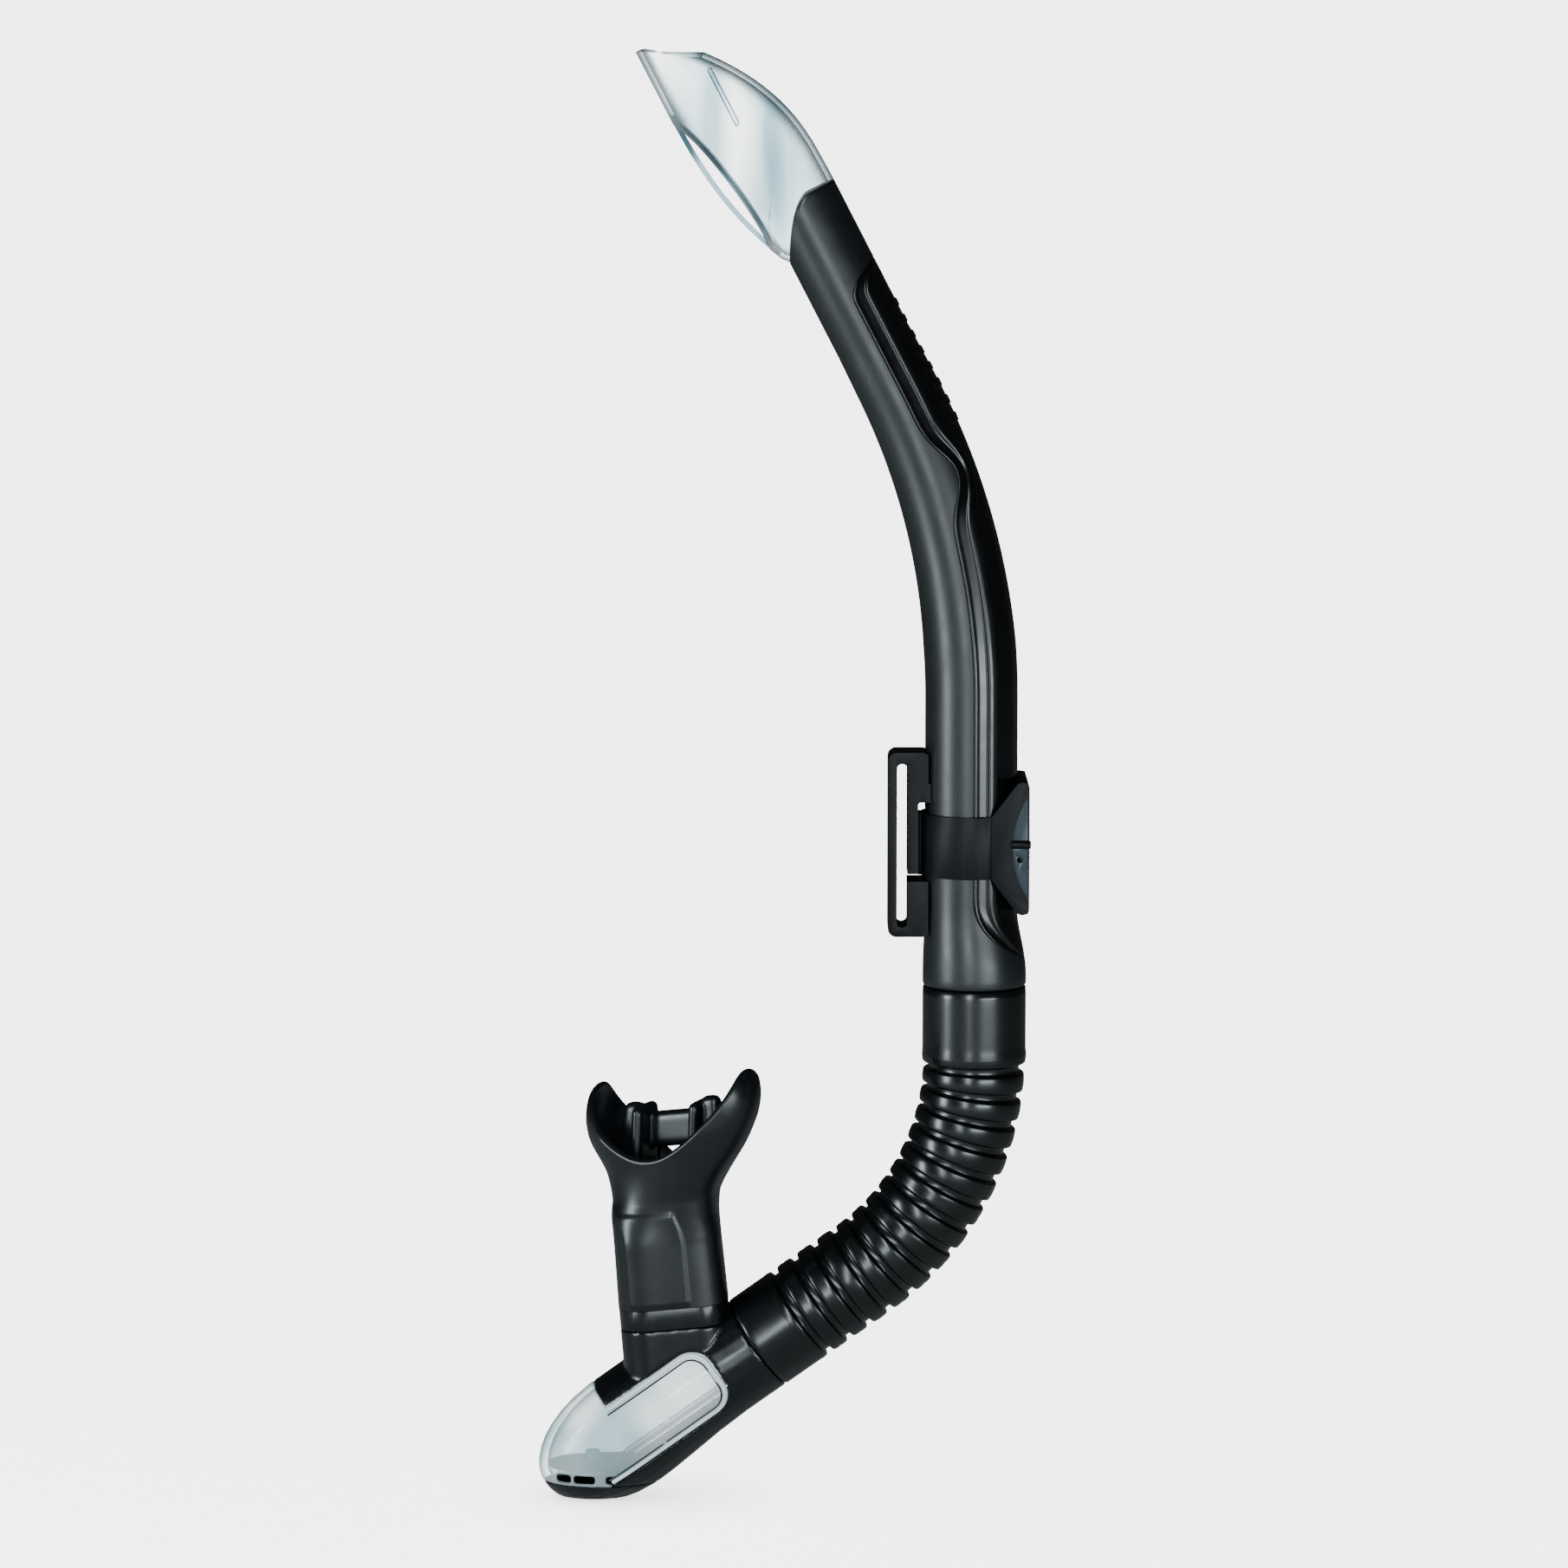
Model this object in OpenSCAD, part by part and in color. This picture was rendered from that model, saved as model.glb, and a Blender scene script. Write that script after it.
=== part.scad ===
// Semi-dry snorkel: curved barrel with a clear splash guard, mask-strap keeper,
// corrugated flexible hose, purge housing with a clear reservoir, and mouthpiece.
// +Z runs up the straight part of the barrel. The mouthpiece is on the -X side.
// The origin is the centre of the mask-strap slot in the keeper.

/* [Barrel] */
// Outer radius of the straight part of the barrel
barrel_r = 13.35; // [12.5:0.05:13.5]
// Outer radius of the barrel under the splash guard
barrel_top_r = 11.1; // [10.8:0.1:11.6]
// Outer radius of the flared lower end and of the hose cuffs
cuff_r = 15; // [15:0.1:15.6]
// Wall thickness of the barrel
barrel_wall = 1.9; // [1.6:0.1:2.1]
// Height at which the barrel starts to bend
bend_start = 42.5; // [40:0.5:50]
// Radius of the barrel's bend
bend_radius = 195; // [180:1:220]
// Angle through which the barrel bends, in degrees
bend_angle = 27.3; // [24:0.1:29]
// Length of the straight part above the bend, to the back of the guard
top_run = 61; // [58:0.5:66]

/* [Hose] */
// Distance from one hose rib to the next, in degrees of the hose's bend
rib_pitch = 5.28; // [5:0.02:5.5]
// Radius of the hose's bend, on its centreline
hose_bend_r = 77; // [74:0.5:84]
// Outer radius of the ribs
rib_r = 14.7; // [14.2:0.1:14.9]
// Outer radius of the hose wall between the ribs
root_r = 13.1; // [12.8:0.1:13.4]
// Bore radius of the hose
hose_bore_r = 11.2; // [10.8:0.1:11.4]
// Length of the smooth lower cuff, past the last rib
lower_cuff_len = 14.7; // [13:0.1:16]

/* [Mouthpiece] */
// Height of the mouthpiece neck below the flange
mouth_neck_h = 38; // [34:0.5:42]
// Width of the mouthpiece neck
neck_w = 32; // [30:0.5:33]
// Depth of the mouthpiece neck, front to back of the mouth
neck_d = 25; // [24:0.5:26]
// Half the width of the flange across the lips
flange_half_w = 27.5; // [26:0.5:28]
// Turn of the flange on the neck, in degrees
flange_turn = 30; // [20:1:35]

/* [Keeper] */
// Width of the mask-strap slot
slot_w = 3; // [2.6:0.1:3.2]
// Length of the mask-strap slot
slot_h = 47.5; // [44:0.5:48]
// Depth of the keeper's loop, the way the strap runs
loop_depth = 14; // [10:0.5:18]
// Height of the keeper's band
band_h = 17.9; // [14:0.1:20]

/* [Hidden] */

eps = 0.01;
fit = 0.05;          // radial clearance of the turning fits
air = 0.35;          // clearance between parts that slide past each other
far = 400;           // longer than the part

// ---- barrel centreline ----
axis_x = 20;                                             // barrel axis, from the strap slot
bend_len = bend_radius * bend_angle * PI / 180;
bend_end = bend_start + bend_len;                        // arc length at the end of the bend
guard_s = bend_end + top_run;                            // arc length of the guard's back edge
foot_z = -41.3;                                          // lower end of the barrel
end_x = axis_x - bend_radius * (1 - cos(bend_angle));
end_z = bend_start + bend_radius * sin(bend_angle);

function clamp(v, lo, hi) = min(max(v, lo), hi);
function ramp(v, lo, hi) = clamp((v - lo) / (hi - lo), 0, 1);
function ease(t) = t * t * (3 - 2 * t);
function tilt(s) = clamp((s - bend_start) / bend_radius * 180 / PI, 0, bend_angle);
function bent_x(s) = s < bend_end
    ? axis_x - bend_radius * (1 - cos(tilt(s)))
    : end_x - (s - bend_end) * sin(bend_angle);
function bent_z(s) = s < bend_start ? s
    : s < bend_end ? bend_start + bend_radius * sin(tilt(s))
    : end_z + (s - bend_end) * cos(bend_angle);
// A point at arc length s, offset p in the plane of the bend (towards the back) and q across it
function along(s, p, q) = [bent_x(s) + p * cos(tilt(s)), q, bent_z(s) + p * sin(tilt(s))];

// ---- barrel profile ----
flare_top = -18;
flare_shift = 1.1;                                       // the flare is deeper at the back
taper_start = 58;
taper_end = 150;
function flare(s) = ease(ramp(-s, -flare_top, 38));
function shift(s) = flare_shift * flare(s);
function outer_r(s) = barrel_r + (cuff_r - barrel_r) * flare(s)
    - (barrel_r - barrel_top_r) * ramp(s, taper_start, taper_end);
upper_sleeve_r = 11.6;                                   // outer radius of the upper connector
socket_r = upper_sleeve_r + 0.1;                         // bore that takes the upper connector
socket_top = -29;
function bore_r(s) = s < socket_top + eps ? socket_r : outer_r(max(s, flare_top)) - barrel_wall;

// The guard's seam runs square across the back and drops towards the front
seam_drop = 15.5;
seam_edge = 2.7;
function seam(phi) = guard_s
    - seam_drop * pow(max(0, seam_edge - barrel_top_r * cos(phi)) / (seam_edge + barrel_top_r), 1.7);

// ---- back inlay ----
inlay_lo = -33;
inlay_hi = bend_end + 36;
inlay_depth = 0.95;
inlay_t = 0.7;
inlay_half = 89;                                         // half-angle covered by the inlay
waist_s = 107;
waist_dip = 30;
end_round = 9;
wall_a = 0.7;                                            // half-angle of the pocket's side wall
function end_cap(s) = sqrt(1 - pow(1 - ramp(s, inlay_lo, inlay_lo + 2 * end_round), 2))
    * sqrt(1 - pow(1 - ramp(-s, -inlay_hi, end_round - inlay_hi), 2));
end_a = 9;                                               // least half-angle of the pocket's columns
function inlay_a(s) = max(end_a, inlay_half * end_cap(clamp(s, inlay_lo, inlay_hi))
    - waist_dip * exp(-pow((s - waist_s) / 9, 2)));
function in_inlay(s) = s > inlay_lo + eps && s < inlay_hi - eps;

// ---- meshes ----
function flat(rows) = [for (row = rows) each row];
// Grid faces between neighbouring rings of n points; wrap joins the last ring to the first
function grid(m, n, wrap) = [for (i = [0 : m - (wrap ? 1 : 2)], j = [0 : n - 1])
    let (a = i * n + j, b = i * n + (j + 1) % n, k = (i + 1) % m * n)
    each [[a, k + j, b], [b, k + j, k + (j + 1) % n]]];
// A tube: rings run up the outside and back down the inside
module ring_mesh(rings) {
    polyhedron(points = flat(rings), faces = grid(len(rings), len(rings[0]), true), convexity = 6);
}
// A closed body with a flat section at each end
module loft(rings) {
    m = len(rings);
    n = len(rings[0]);
    ends = [[for (j = [0 : n - 1]) j], [for (j = [n - 1 : -1 : 0]) (m - 1) * n + j]];
    polyhedron(points = flat(rings), faces = concat(grid(m, n, false), ends), convexity = 6);
}

// ---- barrel and inlay ----
pocket_n = 14;
skin_n = 26;
// Column angles: across the inlay pocket, then round the rest of the barrel
function columns(a) = concat(
    [for (i = [0 : pocket_n]) (a - wall_a) * (2 * i / pocket_n - 1)],
    [for (i = [0 : skin_n]) a + wall_a + (360 - 2 * a - 2 * wall_a) * i / skin_n]);
end_cols = columns(end_a);                               // columns of the bore, the seam and the guard
function arcs(lo, hi, n) = [for (i = [0 : n]) lo + (hi - lo) * i / n];
mid_s = concat([-31, -28, -23, flare_top, 0], arcs(bend_start, taper_start, 1), arcs(68, bend_end - 1, 12),
    arcs(bend_end + 8, bend_end + 24, 2), [inlay_hi - 6, inlay_hi - 3, inlay_hi - 1]);
outer_s = concat([foot_z, -37, inlay_lo - 0.5, inlay_lo + 0.1], mid_s,
    [inlay_hi - 0.1, inlay_hi + 0.5, inlay_hi + 4]);
inner_s = concat(arcs(bend_end + 30, bend_start, 10), [socket_top + 0.3, socket_top, foot_z]);
function barrel_ring(s) = let (a = inlay_a(s), cols = columns(a)) [for (i = [0 : len(cols) - 1])
    let (r = outer_r(s) - (in_inlay(s) && i <= pocket_n ? inlay_depth : 0))
    along(s, shift(s) + r * cos(cols[i]), r * sin(cols[i]))];
// The socket is centred on the hose and the bore above it on the barrel
function bore_ring(s) = let (off = s <= socket_top ? flare_shift : 0)
    [for (c = end_cols) along(s, off + bore_r(s) * cos(c), bore_r(s) * sin(c))];
function seam_ring(r) = [for (c = end_cols) along(seam(c), r * cos(c), r * sin(c))];

module barrel() {
    color("#2b2e31") ring_mesh(concat(
        [for (s = outer_s) barrel_ring(s)],
        [seam_ring(barrel_top_r), seam_ring(barrel_top_r - barrel_wall)],
        [for (s = inner_s) bore_ring(s)]));
}

inlay_gap = 0.8;                                         // degrees left at each side of the inlay
bed_gap = 0.25;                                          // between the inlay and the pocket's floor
inlay_s = concat([inlay_lo + 0.3], mid_s, [inlay_hi - 0.4]);
// The inlay's ends take the half-angle of the pocket's own last rings
function strip_a(s) = inlay_a(clamp(s, inlay_lo + 0.1, inlay_hi - 0.1)
    + (s < inlay_lo + 0.5 ? -0.2 : s > inlay_hi - 0.5 ? 0.3 : 0)) - wall_a - inlay_gap;
function strip_side(s, r, dir) = [for (i = [0 : pocket_n])
    let (c = dir * strip_a(s) * (2 * i / pocket_n - 1))
    along(s, shift(s) + r * cos(c), r * sin(c))];
module back_inlay() {
    floor_r = inlay_depth - bed_gap;
    color("#17191b") loft([for (s = inlay_s) concat(
        strip_side(s, outer_r(s) - floor_r + inlay_t, 1), strip_side(s, outer_r(s) - floor_r, -1))]);
}

// ---- splash guard ----
guard_top = guard_s + 60;
guard_wall = 1.6;
seam_fit = 0.25;                                         // gap between the barrel and the guard
sleeve_r = barrel_top_r - barrel_wall - 0.15;
sleeve_len = 9;
front_swell = 11.2;                                      // how far the front bulges past the barrel
front_full = guard_s + 41;
rear_start = guard_s + 9;
rim_z = 227;                                             // the guard's level top edge
function front_p(s) = -(barrel_top_r + 0.3 + front_swell)
    + front_swell * pow(max(0, front_full - s) / 57, 2.6);
function rear_p(s) = barrel_top_r - 0.4 - 15.4 * pow(max(0, s - rear_start) / 39, 2.1);
function half_q(s) = barrel_top_r + 1.2 * ease(ramp(s, guard_s - 10, guard_s + 20))
    - 3.6 * ease(ramp(s, guard_s + 15, guard_top));
function guard_pt(s, c, w, t) = let (
    mid = (front_p(s) + rear_p(s)) / 2 * w,
    half = (rear_p(s) - front_p(s)) / 2 * w + barrel_top_r * (1 - w),
    deep = half_q(s) * w + barrel_top_r * (1 - w))
    along(s, mid + (half - t) * cos(c), (deep - t) * sin(c));
// Ring at fraction f of the way from the seam to the top
function guard_ring(f, t) = [for (c = end_cols) let (
    s = seam(c) + f * (guard_top - seam(c)), w = clamp(f / (0.02 + 0.22 * (1 + cos(c)) / 2), 0, 1))
    guard_pt(s + seam_fit * (1 - f), c, w, t)];
function sleeve_ring(r, drop) = [for (c = end_cols)
    along(seam(c) + seam_fit - drop, r * cos(c), r * sin(c))];
guard_f = [0, 0.06, 0.14, 0.24, 0.36, 0.48, 0.6, 0.7, 0.8, 0.9, 1];

// Front opening: everything in front of the rim line, seen from the side
slot_lo = guard_s - 9;
slot_hi = guard_s + 34;
rim_inset = 5.4;
function rim_p(s) = front_p(s) + rim_inset * pow(max(0, sin(180 * ramp(s, slot_lo, slot_hi))), 0.6) - 0.4;
module front_opening() {
    line = [for (s = arcs(slot_lo, slot_hi, 14)) along(s, rim_p(s), 0)];
    out = [for (s = [slot_hi, slot_lo]) along(s, front_p(s) - 12, 0)];
    rotate([90, 0, 0]) linear_extrude(far, center = true)
        polygon([for (v = concat(line, out)) [v[0], v[2]]]);
}
// Vane that runs down the middle of the front opening
vane_w = 2.2;
module front_vane() {
    loft([for (s = arcs(slot_lo - 3, slot_hi + 3, 12)) let (p = front_p(s) + 0.15)
        [along(s, p, -vane_w / 2), along(s, p + 1.5, -vane_w / 2),
         along(s, p + 1.5, vane_w / 2), along(s, p, vane_w / 2)]]);
}
module splash_guard() {
    color("#dfe9ee", 0.45) difference() {
        union() {
            difference() {
                ring_mesh(concat(
                    [sleeve_ring(sleeve_r, sleeve_len), sleeve_ring(sleeve_r, 0)],
                    [for (f = guard_f) guard_ring(f, 0)],
                    [for (i = [len(guard_f) - 1 : -1 : 1]) guard_ring(guard_f[i], guard_wall)],
                    [sleeve_ring(sleeve_r - 1.2, 0), sleeve_ring(sleeve_r - 1.2, sleeve_len)]));
                front_opening();
            }
            front_vane();
        }
        translate([-far / 2, -far / 2, rim_z]) cube(far);
    }
}

// Baffle that turns splashes away from the bore
baffle_p = -5.6;
baffle_t = 1.2;
baffle_half = 8.6;
baffle_lo = guard_s + 26;
baffle_hi = guard_s + 44;
module splash_baffle() {
    color("#d4e0e6", 0.45) intersection() {
        translate([bent_x(baffle_lo), 0, bent_z(baffle_lo)]) rotate([0, -bend_angle, 0])
            translate([baffle_p - baffle_t, -baffle_half, 0])
            cube([baffle_t, 2 * baffle_half, baffle_hi - baffle_lo]);
        translate([-far / 2, -far / 2, rim_z - 1 - far]) cube(far);
    }
}

// ---- hose ----
hose_x = axis_x + flare_shift;
hose_z = -62.7;                                          // where the hose starts to bend
hose_c = hose_x - hose_bend_r;                           // centre of the hose's bend
groove_0 = 1.8;                                          // first groove, in degrees of the bend
groove_w = 1.8;                                          // width of a groove, in degrees
hose_angle = groove_0 + 10 * rib_pitch;                  // the rest of the hose is straight
rib_len = rib_pitch * PI / 180 * hose_bend_r;            // the same pitch along the straight
groove_len = groove_w * PI / 180 * hose_bend_r;
seam_gap = 0.3;                                          // gap at a seam between two bodies

// Turns its children to the place on the hose's bend that is a degrees round it
module on_bend(a) {
    translate([hose_c, 0, hose_z]) rotate([0, a, 0]) translate([hose_bend_r, 0, 0]) children();
}
// Round bar of radius r along the bend, from a to b degrees
module bend_bar(r, a, b) {
    translate([hose_c, 0, hose_z]) rotate([-90, 0, 0])
        rotate_extrude(angle = b - a, start = a, $fn = 96) translate([hose_bend_r, 0]) circle(r, $fn = 48);
}
// Round bar along the straight run past the bend
module run_bar(r, from, to) {
    on_bend(hose_angle) translate([0, 0, -to]) cylinder(r = r, h = to - from, $fn = 96);
}
// One link of the hose on its bend: ribs first..last, numbered from 1 below the upper cuff
module bent_link(first, last) {
    a = groove_0 + (first - 1) * rib_pitch + groove_w / 2;
    b = groove_0 + last * rib_pitch - groove_w / 2;
    color("#1c1f22") difference() {
        union() {
            bend_bar(root_r, a, b);
            for (k = [first : last])
                bend_bar(rib_r, groove_0 + (k - 1) * rib_pitch + groove_w / 2,
                    groove_0 + k * rib_pitch - groove_w / 2);
        }
        bend_bar(hose_bore_r, a - 1, b + 1);
    }
}
module straight_ribs(first, last) {
    for (k = [first : last])
        run_bar(rib_r, (k - 11) * rib_len + groove_len / 2, (k - 10) * rib_len - groove_len / 2);
}
lower_sleeve_r = 12.6;                                   // outer radius of the lower connector
sleeve_wall = 2;
sleeve_in_cuff = 12;                                     // length of a connector inside its cuff
sleeve_in_pod = 8;
seat_room = 0.5;                                         // room past a connector's end
module hose_upper_cuff() {
    cuff_h = foot_z - seam_gap - hose_z;
    rib_a = groove_0 + groove_w / 2;
    rib_b = groove_0 + rib_pitch - groove_w / 2;
    color("#1c1f22") {
        translate([hose_x, 0, hose_z]) difference() {
            cylinder(r = cuff_r, h = cuff_h, $fn = 96);
            translate([0, 0, -1]) cylinder(r = hose_bore_r, h = cuff_h + 2, $fn = 96);
            translate([0, 0, foot_z - hose_z - sleeve_in_cuff - seat_room])
                cylinder(r = upper_sleeve_r + fit, h = cuff_h, $fn = 96);
        }
        difference() {
            union() {
                bend_bar(cuff_r, 0, groove_0 - groove_w / 2);
                bend_bar(root_r, 0.4, rib_b);
                bend_bar(rib_r, rib_a, rib_b);
            }
            bend_bar(hose_bore_r, -1, rib_b + 1);
        }
    }
}
module hose_link_1() { bent_link(2, 3); }
module hose_link_2() { bent_link(4, 5); }
module hose_link_3() { bent_link(6, 8); }
module hose_link_4() { bent_link(9, 10); }
module hose_link_5() {
    a = groove_len / 2;
    b = 2 * rib_len - groove_len / 2;
    color("#1c1f22") difference() {
        union() {
            run_bar(root_r, a, b);
            straight_ribs(11, 12);
        }
        run_bar(hose_bore_r, a - 1, b + 1);
    }
}
cuff_from = 3 * rib_len + groove_len / 2;
hose_end = cuff_from + lower_cuff_len;
module hose_lower_cuff() {
    a = 2 * rib_len + groove_len / 2;
    color("#1c1f22") difference() {
        union() {
            run_bar(root_r, a, hose_end - 1);
            straight_ribs(13, 13);
            run_bar(rib_r, cuff_from, hose_end);
        }
        run_bar(hose_bore_r, a - 1, hose_end + 1);
        run_bar(lower_sleeve_r + fit, hose_end - sleeve_in_cuff - seat_room, hose_end + 1);
    }
}
// Hard sleeve that a hose cuff turns on: it reaches down into the cuff and up into the other part
module connector(r, above) {
    translate([0, 0, -sleeve_in_cuff]) difference() {
        cylinder(r = r, h = above + sleeve_in_cuff, $fn = 96);
        translate([0, 0, -1]) cylinder(r = r - sleeve_wall, h = above + sleeve_in_cuff + 2, $fn = 96);
    }
}
module upper_hose_connector() {
    color("#3a3e42") translate([hose_x, 0, foot_z])
        connector(upper_sleeve_r, socket_top - seat_room - foot_z);
}
module lower_hose_connector() {
    color("#3a3e42") on_bend(hose_angle) translate([0, 0, -hose_end]) rotate([180, 0, 0])
        connector(lower_sleeve_r, sleeve_in_pod);
}

// ---- keeper ----
wall_left = 2.6;                                         // bar outside the slot
saddle_x = 8.2;                                          // the loop's sides reach round the barrel to here
loop_top = 27;
loop_bottom = -26.5;
mouth_z = -8.2;                                          // gap through which the strap is slipped
mouth_h = 2.2;
module round_bar(x0, z0, x1, z1, r) {
    translate([x0 + r, z0]) square([x1 - x0 - 2 * r, z1 - z0]);
    translate([x0, z0 + r]) square([x1 - x0, z1 - z0 - 2 * r]);
    for (x = [x0 + r, x1 - r], z = [z0 + r, z1 - r]) translate([x, z]) circle(r, $fn = 48);
}
arm_x = 4.6;                                             // where the loop's arm meets the band
hook_back = 0.6;
band_in = barrel_r + air;
module keeper_loop() {
    left = -slot_w / 2 - wall_left;
    color("#141517") difference() {
        rotate([90, 0, 0]) linear_extrude(loop_depth, center = true) difference() {
            round_bar(left, loop_bottom, saddle_x, loop_top, 2.5);
            round_bar(-slot_w / 2, -slot_h / 2, slot_w / 2, slot_h / 2, 1.4);
            // relief between the arm and the barrel, above the band
            round_bar(arm_x, mouth_z, saddle_x + 2, 12.6, 0.8);
            // mouth of the loop
            translate([0, mouth_z - mouth_h]) square([saddle_x + 1, mouth_h]);
        }
        // saddle round the barrel; the hook and the top stand back from the barrel's flare and bend
        translate([axis_x, 0, 0]) cylinder(r = band_in, h = far, center = true, $fn = 96);
        for (z = [loop_top - 9, mouth_z - far / 8]) translate([axis_x, 0, z])
            cylinder(r = band_in + hook_back, h = far / 8, $fn = 96);
    }
}
band_out = band_in + 1.2;
band_lo = -8.8;
tail_z = 19.2;                                           // half-height of the band's tails
tail_x = 16.4;                                           // back of the tails, from the barrel's axis
tail_half = 14.4;                                        // half-width of the tails, across the barrel
lens_r = 27;
lens_x = 11.5;                                           // front edge of the lock plate
module lens(r) {
    intersection() {
        translate([lens_x + lens_r, 0]) circle(r, $fn = 128);
        translate([lens_x - 1, -20]) square([tail_x - 0.4 - lens_x + 1, 40]);
    }
}
band_mid = band_lo + band_h / 2;
peg_r = 1.2;
module keeper_band() {
    color("#16181c") difference() {
        band_body();
        pegs(peg_r + eps);
    }
}
module band_body() {
    translate([axis_x, 0, band_mid]) difference() {
        union() {
            translate([0, 0, -band_h / 2]) cylinder(r = band_out, h = band_h, $fn = 96);
            // lug that holds the loop's arm
            translate([arm_x - axis_x, -3.5, -band_h / 2]) cube([4, 7, band_h]);
            rotate([90, 0, 0]) linear_extrude(2 * tail_half, center = true) polygon([
                [5.5, band_h / 2], [13, tail_z - 0.4], [14.2, tail_z], [16, tail_z - 0.3],
                [tail_x, tail_z - 1.5], [tail_x, 1.5 - tail_z], [16, 0.3 - tail_z],
                [14.2, -tail_z], [13, 0.4 - tail_z], [5.5, -band_h / 2]]);
        }
        cylinder(r = band_in, h = far, center = true, $fn = 96);
        for (z = [band_h / 2, -far / 8 - band_h / 2]) translate([0, 0, z])
            cylinder(r = band_in + hook_back, h = far / 8, $fn = 96);
        rotate([90, 0, 0]) linear_extrude(far, center = true) lens(lens_r);
    }
}
module keeper_lock_plate() {
    color("#3f4a52") difference() {
        translate([axis_x, 0, band_mid]) difference() {
            rotate([90, 0, 0]) linear_extrude(2 * tail_half - 0.6, center = true) lens(lens_r - 0.05);
            cylinder(r = band_in + hook_back, h = far, center = true, $fn = 96);
            // blind holes for the tool that opens the keeper
            for (y = [-1, 1]) translate([lens_x + 2.2, y * (tail_half - 1.8), -3.2])
                rotate([90, 0, 0]) cylinder(r = 0.9, h = 6, center = true, $fn = 32);
        }
        pegs(peg_r + eps);
    }
}
module pegs(r) {
    for (y = [-1, 1]) translate([axis_x + 11.2, y * (tail_half - 0.1), 1.4])
        rotate([0, 90, 0]) cylinder(r = r, h = 5.6, $fn = 32);
}
module keeper_pegs() { color("#101113") pegs(peg_r); }

// ---- purge housing ----
nose_len = 71;
nose_start = 42;
nose_mid = 2;                                            // height of the nose tip on the pod's axis
pod_cols = 28;
pod_wall = 2;
base_z = -192.5;                                         // flat underside
deck_z = -182.5;                                         // top of the valve plate
vent_z = -187.9;                                         // bottom of the side vents
pod_back = -4;                                           // where the pod meets the hose, on its own axis
// The pod's own axes start inside the pod, on the line of the hose
module pod_frame() {
    on_bend(hose_angle) translate([0, 0, pod_back - hose_end]) children();
}
function nose(a) = sqrt(max(0, 1 - pow(max(0, a - nose_start) / (nose_len - nose_start), 2)));
function pod_up(a) = nose_mid + (cuff_r - 0.3 - nose_mid + 3.6 * ease(ramp(a, 0, 30))) * nose(a);
function pod_down(a) = (cuff_r - 0.3 + nose_mid + 2.2 * ease(ramp(a, 10, 45))) * nose(a) - nose_mid;
function pod_side(a) = (cuff_r - 0.3 + 0.7 * ease(ramp(a, 0, 20))) * nose(a);
// Section of the pod at a, moved in by t; in pod_frame, -X is up and forward and -Z is towards the nose
function pod_ring(a, t) = let (b = a > nose_start ? a / (1 + t / nose_len) : a,
    half = (pod_up(a) + pod_down(a)) / 2 - t, mid = (pod_up(a) - pod_down(a)) / 2)
    [for (j = [0 : pod_cols - 1]) let (c = 360 * j / pod_cols)
        [-mid - half * cos(c), (pod_side(a) - t) * sin(c), -b]];
pod_a = [pod_back + seam_gap, 10, 20, 30, 38, 44, 50, 55, 59.5, 63, 66, 68.3, 69.9, 70.7];
module pod(t, back = 0) {
    stations = [for (a = pod_a) if (min(pod_side(a), pod_down(a)) > t + 0.6) a];
    open_end = [for (v = pod_ring(pod_a[0], t)) v + [0, 0, back]];
    pod_frame() loft(concat(back > 0 ? [open_end] : [], [for (a = stations) pod_ring(a, t)]));
}
// Outline of the clear reservoir in side view; grow widens it by a clearance
win_lo = -8.3;
win_hi = 11.7;
win_end = 9;
win_round = 7;
module window_area(grow) {
    pod_frame() rotate([90, 0, 0]) linear_extrude(far / 4, center = true) {
        round_bar(-win_hi - grow, -90, -win_lo + grow, -win_end + grow, win_round + grow);
        translate([-25, -90]) square([25, 90 - 42.3 + grow]);
        translate([0, -90]) square([25, 90 - 54 + grow]);
    }
}
module above(z) { translate([-far / 2, -far / 2, z]) cube(far); }
module below(z) { translate([-far / 2, -far / 2, z - far]) cube(far); }

// Mouthpiece frame: base of the mouthpiece, on the housing's neck
mouth_x = -66.2;
mouth_z0 = -134.8;
lean = 5;                                                // the neck leans towards -X going up
neck_round = 9;
module neck_area(t) {
    w = neck_w / 2 - t;
    d = neck_d / 2 - t;
    round_bar(-w, -d, w, d, neck_round - t);
}
module neck(t, v0, v1) {
    translate([mouth_x, 0, mouth_z0]) rotate([0, -lean, 0]) translate([0, 0, v0])
        linear_extrude(v1 - v0) neck_area(t);
}
spigot_t = 2.3;
spigot_top = 11;
band_low = -6;
module purge_housing() {
    color("#1a1c1e") difference() {
        union() {
            pod(0);
            neck(0, -24, band_low);
            neck(spigot_t, -24, spigot_top);
        }
        pod(pod_wall, 3);
        pod_frame() translate([0, 0, -pod_back - sleeve_in_pod])
            cylinder(r = lower_sleeve_r + 0.02, h = 2 * sleeve_in_pod, $fn = 96);
        neck(spigot_t + 1.8, -26, spigot_top + 1);
        window_area(0.15);
        below(vent_z + 0.1);
    }
}
module reservoir_cover() {
    vents = [[-100.2, 4.2], [-95.2, 6.2], [-85.8, 3.8]];
    color("#dfe9ee", 0.45) difference() {
        intersection() {
            difference() {
                pod(0);
                pod(1.9, 3);
            }
            window_area(0);
            above(vent_z);
        }
        for (v = vents) translate([v[0], -far / 2, vent_z + 0.6]) cube([v[1], far, 2.9]);
    }
}
seat_x = -90;
port_ring = 5.4;
deck_t = 1.4;
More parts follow.
